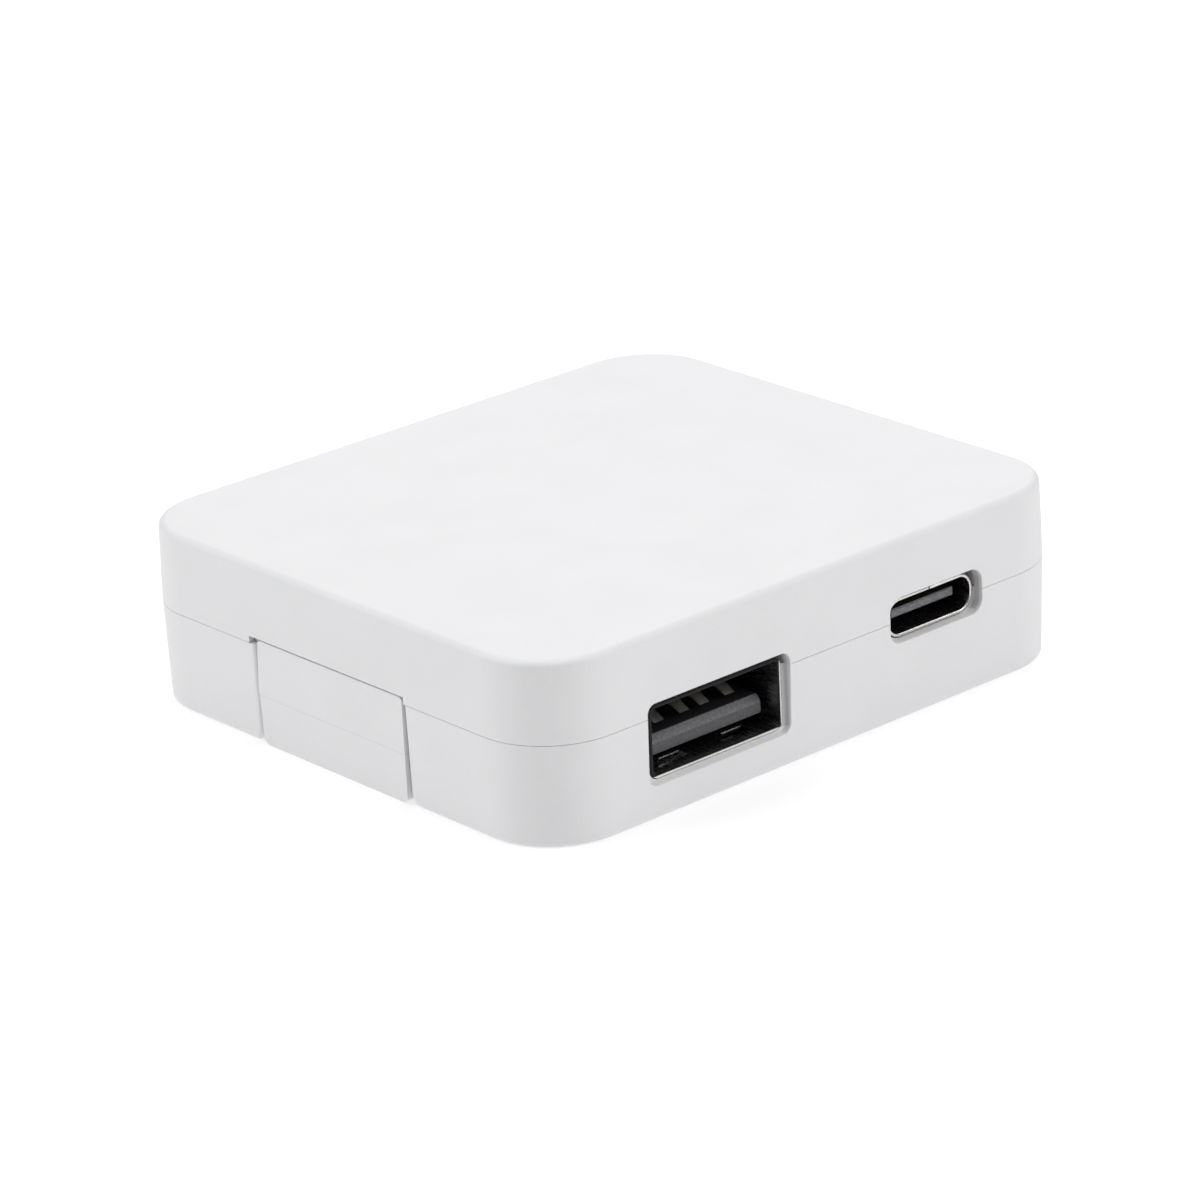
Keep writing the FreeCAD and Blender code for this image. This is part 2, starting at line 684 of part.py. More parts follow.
def usb_c_contacts():
    """Flat contacts let into both faces of the tongue."""
    metal = usb_c_contact_metal
    start = usb_c_rim + usb_c_tongue_recess + usb_c_contact_from_tip
    rear = usb_c_rim + usb_c_depth
    strips = []
    for number in range(usb_c_contacts_per_side):
        shift = (number - (usb_c_contacts_per_side - 1) / 2) * usb_c_contact_pitch
        x = usb_c_x + shift - usb_c_contact_width / 2
        top = usb_c_height + usb_c_tongue[1] / 2
        low = usb_c_height - usb_c_tongue[1] / 2
        for z_range in ((top - metal, top), (low, low + metal)):
            strips.append(block((x, x + usb_c_contact_width), (start, rear), z_range))
    return Part.makeCompound(strips)


# ---------------------------------------------------------------- board and components
def main_board():
    """Circuit board, cut away for the plug's pocket, the tall parts and the USB-C receptacle."""
    board = plan_block(board_inset, (board_low, board_high))
    gap = board_gap
    z_range = (0, height)
    cuts = [block((plug_end, pocket_wall_x + gap), (-pin_end - contact_gap, pin_end + contact_gap),
                  z_range)]
    for y in mirrored(pin_end, pin_end + contact_gap + contact_thickness + contact_gap):
        cuts.append(block((plug_end, contact_end + gap), y, z_range))
    cuts.append(block((usb_c_x - usb_c_outer[0] / 2 - gap, usb_c_x + usb_c_outer[0] / 2 + gap),
                      (front, usb_c_rim + usb_c_depth + gap), z_range))
    cuts.append(block((core_x - core_length / 2 - gap, core_x + core_length / 2 + gap),
                      (core_y - core_width / 2 - gap, core_y + core_width / 2 + gap), z_range))
    can_start, can_end = can_span(0)[0], can_span(1)[1]
    cuts.append(block((can_start - gap, can_end + gap), (can_window_front, back), z_range))
    for cut in cuts:
        board = board.cut(cut)
    return board


def core_half(side):
    """One E-shaped ferrite half; the two meet in the middle of the winding."""
    half = core_length / 2
    x_range = sorted((core_x, core_x + side * half))
    z_range = (core_z - core_height / 2, core_z + core_height / 2)
    solid = block(x_range, (core_y - core_width / 2, core_y + core_width / 2), z_range)
    window_x = sorted((core_x - side, core_x + side * (half - core_leg)))
    for y_low, y_high in mirrored(core_middle_leg / 2, core_middle_leg / 2 + core_window):
        solid = solid.cut(block(window_x, (core_y + y_low, core_y + y_high), z_range))
    return solid


def sleeve(x_range, half_y, half_z, thickness):
    """Rectangular tube round the middle leg: half sizes of its hole, and its wall."""
    def bar(extra):
        return block(x_range, (core_y - half_y - extra, core_y + half_y + extra),
                     (core_z - half_z - extra, core_z + half_z + extra))
    return bar(thickness).cut(bar(0))


def transformer_parts():
    """Core halves, bobbin, winding and the tape round it."""
    play = bobbin_play
    leg_y = core_middle_leg / 2 + play
    leg_z = core_height / 2 + play
    wall_y = bobbin_wall - play
    x_half = core_length / 2 - core_leg - play
    inner = (core_x - x_half, core_x + x_half)
    wound = (inner[0] + bobbin_wall, inner[1] - bobbin_wall)
    bobbin = sleeve(inner, leg_y, leg_z, wall_y)
    for start in (inner[0], inner[1] - bobbin_wall):
        flange = sleeve((start, start + bobbin_wall), leg_y, leg_z, wall_y + winding_build)
        bobbin = bobbin.fuse(flange)
    coil = sleeve(wound, leg_y + wall_y, leg_z + wall_y, winding_build - tape_thickness)
    tape = sleeve(wound, winding_half_y - tape_thickness, winding_half_z - tape_thickness,
                  tape_thickness)
    return {
        "transformer_core_near": core_half(-1),
        "transformer_core_far": core_half(1),
        "transformer_bobbin": bobbin.removeSplitter(),
        "transformer_winding": coil,
        "transformer_tape": tape,
    }


def can_span(number):
    """Ends of the lying input capacitors, in a row along the back wall."""
    start = plug_end + corner_radius + number * (input_can_length + part_gap)
    return start, start + input_can_length


def can(radius, start, end):
    """Aluminium can with a rolled crimp near its sealed end."""
    body = cylinder(radius, start, end)
    way = (end - start).normalize()
    crimp = Part.makeTorus(radius + can_crimp / 3, can_crimp, start + way * (4 * can_crimp), way)
    return body.cut(crimp)


def input_capacitor(number):
    """Mains reservoir capacitor lying along the back wall."""
    start, end = can_span(number)
    return can(input_can_radius, V(start, can_y, can_axis_height), V(end, can_y, can_axis_height))


def output_capacitor(y):
    """Output capacitor hanging under the board."""
    return can(output_can_radius, V(side_x, y, board_low), V(side_x, y, board_low - output_can_length))


def line_fuse():
    """Small fuse under the board, between the live contact and the USB-A receptacle."""
    x = (plug_end + lip_inside + usb_a_x - usb_a_outer[0] / 2) / 2
    y = (front + lip_inside - pin_end) / 2
    z = board_low - fuse_radius
    return cylinder(fuse_radius, V(x, y - fuse_length / 2, z), V(x, y + fuse_length / 2, z))


def choke_place():
    """Middle of the common-mode choke, in the far rear corner."""
    x = far_end - lip_inside - rib_reach - part_gap / 2 - choke_radius
    y = back - lip_inside - rib_reach - part_gap / 2 - choke_radius
    return V(x, y, board_low - choke_wire_radius * 2 - choke_height / 2 - choke_lead_gap)


def choke_core():
    """Ferrite ring, lying flat under the board."""
    place = choke_place()
    low = place - ALONG_Z * (choke_height / 2)
    high = place + ALONG_Z * (choke_height / 2)
    ring = cylinder(choke_radius - 2 * choke_wire_radius, low, high)
    return ring.cut(cylinder(choke_hole_radius, low, high))


def choke_winding():
    """Turns of wire round the ring, drawn as square loops of round corners."""
    place = choke_place()
    wire = choke_wire_radius
    outer = choke_radius - 2 * wire
    x_mid = (outer + choke_hole_radius) / 2
    size = (outer - choke_hole_radius + 2 * wire, choke_height + 2 * wire)
    play = wire / 10
    hole = (outer - choke_hole_radius + play, choke_height)
    loop_outer = rounded_wire(V(x_mid, -wire / 2, 0), ALONG_X, ALONG_Z,
                              (size[0], size[1]), (wire, wire))
    ring = Part.Face(loop_outer).extrude(ALONG_Y * wire)
    ring = ring.cut(block((x_mid - hole[0] / 2, x_mid + hole[0] / 2), (-wire, wire),
                          (-hole[1] / 2, hole[1] / 2)))
    turns = []
    for number in range(choke_turns):
        turn = ring.copy()
        turn.rotate(V(0, 0, 0), ALONG_Z, (number + 0.5) * 360 / choke_turns)
        turn.translate(place)
        turns.append(turn)
    return Part.makeCompound(turns)


def y_capacitor():
    """Ceramic disc that bridges the two sides, standing under the board."""
    y = core_y + core_width / 2 - disc_thickness
    middle = V(side_x, y, board_low - disc_radius)
    disc = cylinder(disc_radius, middle, middle + ALONG_Y * disc_thickness)
    return disc.makeFillet(disc_thickness / 3, disc.Edges[:1] + disc.Edges[2:])


def output_inductor():
    """Shielded inductor under the board, between the two ports."""
    x = (usb_a_x + usb_a_outer[0] / 2 + usb_c_x - usb_c_outer[0] / 2) / 2
    y = front + lip_inside + rib_reach + part_gap + inductor_size / 2
    half = inductor_size / 2
    solid = block((x - half, x + half), (y - half, y + half), (board_low - inductor_height, board_low))
    upright = edges_where(solid, lambda box: box.ZLength > hair)
    return solid.makeFillet(inductor_size / 6, upright)


def chip(centre, package, package_height):
    """Moulded package on top of the board with bent legs along two sides."""
    long_half, wide_half = package[0] / 2, package[1] / 2
    high = board_high + package_height
    body = block((centre[0] - long_half, centre[0] + long_half),
                 (centre[1] - wide_half, centre[1] + wide_half), (board_high + chip_stand, high))
    body = body.makeChamfer(chip_bevel, level_edges(body, high))
    legs = []
    count = int(package[0] / leg_pitch)
    for number in range(count):
        x = centre[0] + (number - (count - 1) / 2) * leg_pitch
        for side in (1, -1):
            y_range = sorted((centre[1] + side * (wide_half - bite),
                              centre[1] + side * (wide_half + leg_reach)))
            legs.append(block((x - leg_width / 2, x + leg_width / 2), y_range,
                              (board_high, board_high + leg_thickness)))
    return fused([body] + legs)


def chips():
    """The board's packages: a row beside the plug's pocket, a pair at the far end, one at the ports."""
    row_x = pocket_wall_x + board_gap + part_gap
    under_pad = chip_top - board_high
    port_x = usb_a_x + usb_a_outer[0] / 2 + 2 * part_gap + port_controller_package[0] / 2
    port_y = front + port_controller_from_front
    places = {"bridge_rectifier": (bridge_package, bridge_y),
              "primary_controller": (controller_package, controller_y),
              "power_switch": (switch_package, switch_y)}
    packages = {name: chip((row_x + package[0] / 2, y), package, under_pad)
                for name, (package, y) in places.items()}
    packages["optocoupler"] = chip((side_x, core_y + core_width / 4), optocoupler_package,
                                   optocoupler_height)
    packages["output_rectifier"] = chip((side_x, core_y - core_width / 4), rectifier_package,
                                        rectifier_height)
    packages["port_controller"] = chip((port_x, port_y), port_controller_package,
                                       port_controller_height)
    packages["thermal_pad"] = block((row_x, row_x + pad_length), pad_sides,
                                    (chip_top, chip_top + pad_thickness))
    return packages


def heat_spreader():
    """Aluminium sheet under the roof, over the board and the transformer."""
    high = inner_roof - roof_gap
    low = high - spreader_thickness
    reach = board_inset + rib_reach + part_gap
    sheet = plan_block(reach, (low, high))
    over_cans = block((-length, length), (can_y - input_can_radius - part_gap, back), (0, height))
    sheet = sheet.cut(over_cans)
    return sheet.cut(block((plug_end, pivot.x + part_gap), (-width, width), (0, height)))


def main():
    os.makedirs("parts", exist_ok=True)
    core_front = core_y - core_width / 2
    nodes = {
        "upper_shell": upper_shell(),
        "lower_shell": lower_shell(),
        "plug_hub": plug_hub(),
        "live_blade": blade(mirrored(*blade_sides())[1]),
        "neutral_blade": blade(mirrored(*blade_sides())[0]),
        "live_pivot_pin": pivot_pin(-1),
        "neutral_pivot_pin": pivot_pin(1),
        "live_contact_spring": contact_spring(-1),
        "neutral_contact_spring": contact_spring(1),
        "usb_a_shell": usb_a_shell(),
        "usb_a_insulator": usb_a_insulator(),
        "usb_a_contacts": Part.makeCompound(contact_strips()),
        "usb_c_shell": usb_c_shell(),
        "usb_c_insulator": usb_c_insulator(),
        "usb_c_contacts": usb_c_contacts(),
        "main_board": main_board(),
        "input_capacitor_near": input_capacitor(0),
        "input_capacitor_far": input_capacitor(1),
        "output_capacitor_front": output_capacitor(core_front - output_can_radius),
        "output_capacitor_rear": output_capacitor(core_front + output_can_radius + part_gap),
        "line_fuse": line_fuse(),
        "choke_core": choke_core(),
        "choke_winding": choke_winding(),
        "y_capacitor": y_capacitor(),
        "output_inductor": output_inductor(),
        "heat_spreader": heat_spreader(),
        "insulating_sheet": block((core_x - core_length / 2, board_far - part_gap),
                                  (core_y - core_width / 2, core_y + core_width / 2),
                                  (floor_thickness, floor_thickness + sheet_thickness)),
    }
    nodes.update(chips())
    nodes.update(transformer_parts())
    for name, shape in sorted(nodes.items()):
        shape.exportStep(f"parts/{name}.step")
        print(name, len(shape.Solids), round(shape.Volume, 2), shape.isValid())


main()
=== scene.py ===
import json
import math

import bmesh
import bpy
from mathutils import Matrix, Vector


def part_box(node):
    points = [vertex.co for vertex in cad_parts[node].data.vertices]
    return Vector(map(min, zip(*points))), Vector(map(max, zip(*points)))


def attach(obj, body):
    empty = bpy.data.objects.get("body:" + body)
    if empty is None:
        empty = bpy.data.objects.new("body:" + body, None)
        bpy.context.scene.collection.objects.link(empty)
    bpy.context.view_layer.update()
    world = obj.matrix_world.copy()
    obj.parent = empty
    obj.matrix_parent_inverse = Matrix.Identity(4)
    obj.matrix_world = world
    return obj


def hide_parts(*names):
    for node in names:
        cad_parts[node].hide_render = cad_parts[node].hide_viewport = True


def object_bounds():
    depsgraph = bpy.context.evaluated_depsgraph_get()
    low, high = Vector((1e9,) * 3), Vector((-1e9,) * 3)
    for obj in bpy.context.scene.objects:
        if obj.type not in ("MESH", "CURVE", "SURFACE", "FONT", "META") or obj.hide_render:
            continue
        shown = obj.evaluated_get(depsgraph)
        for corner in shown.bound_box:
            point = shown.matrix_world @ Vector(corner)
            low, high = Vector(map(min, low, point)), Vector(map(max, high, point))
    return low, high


# Looks for a slim wall charger with a folding plug. Everything is in metres, in the frame of the
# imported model: +X away from the plug's end, -Y towards the two receptacles, +Z up.

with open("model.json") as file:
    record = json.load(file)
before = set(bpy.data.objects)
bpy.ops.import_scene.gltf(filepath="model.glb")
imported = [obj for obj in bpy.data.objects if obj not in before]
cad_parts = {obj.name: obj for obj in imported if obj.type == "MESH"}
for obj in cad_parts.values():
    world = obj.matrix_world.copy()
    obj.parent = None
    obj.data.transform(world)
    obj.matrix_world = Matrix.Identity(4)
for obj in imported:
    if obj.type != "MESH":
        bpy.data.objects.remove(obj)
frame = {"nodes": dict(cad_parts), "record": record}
CAD_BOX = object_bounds()
MM = 0.001


# ---------------------------------------------------------------- shader maths
class Field:
    """A number, colour or vector on its way through one finish's nodes."""

    def __init__(self, finish, socket):
        self.finish = finish
        self.socket = socket

    def _math(self, operation, first, second):
        return self.finish.node("ShaderNodeMath", {"operation": operation}, {0: first, 1: second})

    def __add__(self, other):
        return self._math("ADD", self, other)

    __radd__ = __add__

    def __sub__(self, other):
        return self._math("SUBTRACT", self, other)

    def __rsub__(self, other):
        return self._math("SUBTRACT", other, self)

    def __mul__(self, other):
        return self._math("MULTIPLY", self, other)

    __rmul__ = __mul__


class Finish:
    """One material: a Principled shader and the nodes that feed it."""

    def __init__(self, name, **constants):
        self.material = bpy.data.materials.new(name)
        self.material.use_nodes = True
        self.tree = self.material.node_tree
        self.shader = self.tree.nodes["Principled BSDF"]
        self.place = self.node("ShaderNodeTexCoord", output="Object")
        self.set(**constants)

    def feed(self, socket, value):
        """Link a field to a socket, or set the socket's own value."""
        if isinstance(value, Field):
            self.tree.links.new(value.socket, socket)
        else:
            socket.default_value = value

    def node(self, kind, settings=None, inputs=None, output=0):
        """Add a node: its settings first, then its sockets."""
        made = self.tree.nodes.new(kind)
        for key, value in (settings or {}).items():
            setattr(made, key, value)
        for key, value in (inputs or {}).items():
            self.feed(made.inputs[key], value)
        return Field(self, made.outputs[output])

    def set(self, **values):
        """Set the shader's sockets, named with underscores for spaces."""
        for key, value in values.items():
            self.feed(self.shader.inputs[key.replace("_", " ")], value)
        return self

    def along(self, axis):
        """Distance from the model's origin along X, Y or Z, in metres."""
        return self.node("ShaderNodeSeparateXYZ", None, {0: self.place}, output=axis)

    def noise(self, size, detail=2.0, stretch=(1, 1, 1)):
        """Cloudy noise from 0 to 1 whose features are about size metres across."""
        spot = self.place
        if stretch != (1, 1, 1):
            spot = self.node("ShaderNodeMapping", None, {"Vector": spot, "Scale": stretch})
        settings = {"noise_dimensions": "3D"}
        return self.node("ShaderNodeTexNoise", settings,
                         {"Vector": spot, "Scale": 1 / size, "Detail": detail})

    def blend(self, mask, low, high):
        """Colour between two colours by a mask."""
        ends = [end + (1,) if isinstance(end, tuple) else end for end in (low, high)]
        return self.node("ShaderNodeMix", {"data_type": "RGBA"},
                         {"Factor": mask, "A": ends[0], "B": ends[1]}, output="Result")

    def remap(self, value, low, high, to_low, to_high):
        """A field clamped between two values and stretched to two others."""
        return self.node("ShaderNodeMapRange", None,
                         {"Value": value, "From Min": low, "From Max": high,
                          "To Min": to_low, "To Max": to_high})

    def larger(self, first, second):
        """The larger of two numbers."""
        return self.node("ShaderNodeMath", {"operation": "MAXIMUM"}, {0: first, 1: second})

    def within(self, value, low, high, soft):
        """1 where a value is between two others, 0 elsewhere, with soft edges outside them."""
        return self.remap(value, low - soft, low, 0, 1) * self.remap(value, high, high + soft, 1, 0)

    def relief(self, height, depth):
        """Bump the surface by a field from 0 to 1, times a depth in metres."""
        normal = self.node("ShaderNodeBump", None, {"Strength": 1.0, "Distance": depth, "Height": height},
                           output="Normal")
        return self.set(Normal=normal)


# ---------------------------------------------------------------- finishes
EDGE = 0.01 * MM                # how softly a shaded area ends
RECESS_START = 0.30 * MM        # behind the case's side, past its rounded edge
RECESS_BESIDE = {"usb_a_shell": 0.50 * MM, "usb_c_shell": 0.32 * MM}
RECESS_ABOVE = {"usb_a_shell": 0.40 * MM, "usb_c_shell": 0.42 * MM}
RECESS_OVERLAP = 0.5 * MM
LEDGE_CLEAR = 0.1 * MM


def shaded_recesses(finish):
    """Mask of painted shade: 1 on the recess walls beside and above the receptacles, and on what lies
    straight behind them.
    """
    # it has no end along Y, so it also darkens two strips on the far side of the case
    behind_face = CAD_BOX[0].y + RECESS_START
    deep = finish.remap(finish.along("Y"), behind_face, behind_face + 0.1 * MM, 0, 1)
    shade = 0
    for node_name, beside in RECESS_BESIDE.items():
        low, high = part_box(node_name)
        across = finish.within(finish.along("X"), high.x - RECESS_OVERLAP, high.x + beside, EDGE)
        up = finish.within(finish.along("Z"), low.z + LEDGE_CLEAR, high.z + RECESS_ABOVE[node_name], EDGE)
        shade = across * up * deep + shade
    return shade


def moulded_white(name, colour, roughness):
    """White case plastic with a fine spark-eroded texture."""
    finish = Finish(name, IOR=1.49)
    fine = finish.noise(0.14 * MM, 2.0)
    broad = finish.noise(7 * MM, 2.0)
    tint = tuple(0.965 * c for c in colour)
    cloud = finish.remap(fine * 0.5 + broad * 0.5, 0.35, 0.65, 0, 1)
    finish.set(Base_Color=finish.blend(cloud, tint, colour))
    finish.set(Roughness=finish.remap(fine, 0.3, 0.7, roughness - 0.05, roughness + 0.06))
    grain = fine * 0.7 + finish.noise(0.42 * MM, 1.0) * 0.3
    return finish.relief(grain, 0.012 * MM)


def plated(name, bright, dull, roughness, grain_along):
    """Rolled and plated sheet metal with faint drawing lines."""
    finish = Finish(name, Metallic=1.0)
    lines = finish.noise(0.12 * MM, 3.0, grain_along)
    cloud = finish.noise(1.6 * MM, 2.0)
    finish.set(Base_Color=finish.blend(finish.remap(cloud, 0.35, 0.7, 0, 1), bright, dull))
    finish.set(Roughness=finish.remap(lines, 0.3, 0.7, roughness * 0.75, roughness * 1.3))
    return finish.relief(lines, 0.0015 * MM)


def moulded_dark(name, colour, roughness, fibre=0.16 * MM):
    """Dark engineering plastic, slightly mottled by its filler."""
    finish = Finish(name, IOR=1.5)
    mottle = finish.noise(fibre, 3.0)
    lighter = tuple(min(1.0, 1.35 * c + 0.004) for c in colour)
    finish.set(Base_Color=finish.blend(finish.remap(mottle, 0.35, 0.7, 0, 1), colour, lighter))
    finish.set(Roughness=finish.remap(mottle, 0.3, 0.7, roughness - 0.06, roughness + 0.08))
    return finish.relief(mottle, 0.006 * MM)


def solder_mask():
    """Green board lacquer over copper tracks."""
    finish = Finish("board_lacquer", IOR=1.5)
    tracks = finish.node("ShaderNodeTexVoronoi", {"distance": "CHEBYCHEV", "feature": "F1"},
                         {"Vector": finish.place, "Scale": 1 / (2.2 * MM)}, output="Distance")
    edge = finish.remap(tracks, 0.42, 0.46, 0, 1)
    finish.set(Base_Color=finish.blend(edge, (0.02, 0.14, 0.06), (0.04, 0.24, 0.10)))
    finish.set(Roughness=finish.remap(finish.noise(0.3 * MM), 0.3, 0.7, 0.28, 0.42))
    return finish.relief(edge, 0.03 * MM)


BETWEEN_PORTS = 5 * MM          # from X = 0 to here the case has no receptacle
SHELL_WALL = 0.30 * MM          # sheet of the large receptacle's shell
RIM_BAND_CLEAR_OF_SHADE = 0.22 * MM         # outer part of the sheet, kept out of the rim's painted shade
RIM_DEPTH = (0.03 * MM, 0.18 * MM)
FINGER_END = (1.86 * MM, 1.96 * MM)     # depth of the floor fingers' free ends
NOSE_BEVEL = 1.12 * MM          # depth where the large tongue's bevel starts
LARGE_NOSE = 1.70 * MM          # depth where each tongue's nose ends and the painted shade behind it starts
SMALL_NOSE = 0.96 * MM


def in_small_port(finish):
    """1 in the small receptacle, 0 in the large one."""
    return finish.remap(finish.along("X"), 0, BETWEEN_PORTS, 0, 1)


def depth_in_port(finish):
    """How far a point is behind the rim of the receptacle it belongs to, in metres."""
    large_rim, small_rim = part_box("usb_a_shell")[0].y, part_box("usb_c_shell")[0].y
    rim = finish.remap(finish.along("X"), 0, BETWEEN_PORTS, large_rim, small_rim)
    return finish.along("Y") - rim


def rim_clear_of_painted_shade(finish):
    """1 on the small rim, and on the outer right and bottom of the large one, 0 elsewhere, where the
    large rim gets painted shade.
    """
    low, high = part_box("usb_a_shell")
    right = high.x - RIM_BAND_CLEAR_OF_SHADE
    bottom = low.z + RIM_BAND_CLEAR_OF_SHADE
    on_right = finish.remap(finish.along("X"), right, right + 4 * EDGE, 0, 1)
    on_bottom = finish.remap(finish.along("Z"), bottom - 4 * EDGE, bottom, 1, 0)
    return finish.larger(finish.larger(on_right, on_bottom), in_small_port(finish))


def painted_finger_end_highlight(finish, depth):
    """1 on the upper edges of the floor fingers' free ends, where a highlight is painted, 0 elsewhere."""
    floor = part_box("usb_a_shell")[0].z + SHELL_WALL
    height = finish.along("Z")
    at_end = finish.within(depth, FINGER_END[0], FINGER_END[1], 6 * EDGE)
    over_edge = finish.remap(height, floor + 5 * EDGE, floor + 9 * EDGE, 0, 1)
    near_floor = finish.remap(height, floor + 50 * EDGE, floor + 60 * EDGE, 1, 0)
    return at_end * over_edge * near_floor


def receptacle_steel():
    """Nickel on steel: the small rim and the large rim's outer right and bottom keep the plating colour,
    painted shade makes the rest of the large rim near black and the inside dull and dark, and a painted
    highlight lies on the floor fingers' free ends.
    """
    finish = Finish("port_plating", Metallic=1.0)
    depth = depth_in_port(finish)
    lines = finish.noise(0.12 * MM, 3.0, (1, 0.08, 1))
    cloud = finish.remap(finish.noise(1.6 * MM, 2.0), 0.35, 0.7, 0, 1)
    streak = finish.remap(lines, 0.3, 0.7, 0, 1)
    plating = finish.blend(cloud, (0.74, 0.72, 0.69), (0.64, 0.62, 0.60))
    # painted shade: the large rim is near black at its left, its top and its inner edge
    rim = finish.blend(rim_clear_of_painted_shade(finish), (0.02, 0.02, 0.02), plating)
    # painted shade: past the rim, the shells get this dull, dark streaked colour
    dull = finish.blend(streak, (0.20, 0.20, 0.205), (0.34, 0.34, 0.345))
    inside = finish.remap(depth, RIM_DEPTH[0], RIM_DEPTH[1], 0, 1)
    finger_highlight_mask = painted_finger_end_highlight(finish, depth)
    # painted highlight: the fingers' free ends get a pale plating colour over the painted shade
    finish.set(Base_Color=finish.blend(finger_highlight_mask, finish.blend(inside, rim, dull), (0.62, 0.60, 0.58)))
    finish.set(Roughness=finish.remap(lines, 0.3, 0.7, 0.22, 0.36))
    return finish.relief(lines, 0.0006 * MM)


def receptacle_plastic():
    """Dark filled plastic, mottled: painted light makes the large tongue's bevel and the small tongue's
    nose pale, and painted shade makes the rest behind the noses near black.
    """
    finish = Finish("port_plastic", IOR=1.5)
    depth = depth_in_port(finish)
    mottle = finish.remap(finish.noise(0.22 * MM, 4.0), 0.35, 0.65, 0, 1)
    face = finish.blend(mottle, (0.062, 0.062, 0.066), (0.10, 0.10, 0.104))
    # painted light: a lit copy of the tongue's colour, on the large tongue's bevel and the small tongue's
    # nose
    bevel = finish.blend(mottle, (0.125, 0.125, 0.135), (0.21, 0.21, 0.22))
    painted_light_on_bevel = finish.remap(depth, NOSE_BEVEL, NOSE_BEVEL + 10 * EDGE, 0, 1)
    nose = finish.blend(finish.larger(painted_light_on_bevel, in_small_port(finish)), face, bevel)
    nose_end = finish.remap(finish.along("X"), 0, BETWEEN_PORTS, LARGE_NOSE, SMALL_NOSE)
    # painted shade: behind each nose the tongue is near black
    behind = finish.remap(depth - nose_end, 0, 5 * EDGE, 0, 1)
    finish.set(Base_Color=finish.blend(behind, nose, (0.012, 0.012, 0.013)))
    finish.set(Roughness=finish.remap(mottle, 0, 1, 0.50, 0.68))
    return finish.relief(mottle, 0.006 * MM)


def contact_alloy():
    """Flash-plated contact strip, with painted shade making it near black in the small receptacle."""
    finish = Finish("contact_plating", Metallic=0.55)
    cloud = finish.remap(finish.noise(0.7 * MM, 2.0), 0.35, 0.65, 0, 1)
    plating = finish.blend(cloud, (0.30, 0.26, 0.22), (0.16, 0.15, 0.14))
    # painted shade: the contacts in the small receptacle are near black
    finish.set(Base_Color=finish.blend(in_small_port(finish), plating, (0.03, 0.028, 0.026)))
    finish.set(Roughness=finish.remap(cloud, 0, 1, 0.40, 0.52))
    return finish.relief(cloud, 0.001 * MM)


def recessed_white(name, colour, roughness):
    """Case plastic with painted shade on the recess walls and on what lies straight behind them."""
    finish = moulded_white(name, colour, roughness)
    plain = Field(finish, finish.shader.inputs["Base Color"].links[0].from_socket)
    # painted shade on the recess walls: 0.72 of the case colour
    painted_recess_shade = tuple(0.72 * c for c in colour)
    return finish.set(Base_Color=finish.blend(shaded_recesses(finish), plain, painted_recess_shade))


def parted_white(name, node_name, colour, roughness):
    """Case plastic with the faint line where the two halves of its mould met."""
    finish = moulded_white(name, colour, roughness)
    low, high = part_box(node_name)
    line = high.z - PARTING_LINE * (high.z - low.z)
    above = finish.along("Z") - line
    near = finish.within(above, -EDGE, EDGE, 4 * EDGE)
    plain = Field(finish, finish.shader.inputs["Base Color"].links[0].from_socket)
    finish.set(Base_Color=finish.blend(near, plain, tuple(0.86 * c for c in colour)))
    return finish


def woven_wire(name, colour, pitch):
    """Close turns of enamelled wire: fine parallel ridges, with painted shade in the grooves between
    them.
    """
    finish = Finish(name, Metallic=0.85)
    ridges = finish.node("ShaderNodeTexWave", {"bands_direction": "X", "wave_profile": "SIN"},
                         {"Vector": finish.place, "Scale": 0.314 / pitch, "Distortion": 0.15},
                         output="Fac")
    # painted shade: the colour is darker in the grooves between the ridges
    dark = tuple(0.45 * c for c in colour)
    finish.set(Base_Color=finish.blend(ridges, dark, colour))
    finish.set(Roughness=finish.remap(ridges, 0, 1, 0.42, 0.25))
    return finish.relief(ridges, 0.05 * MM)


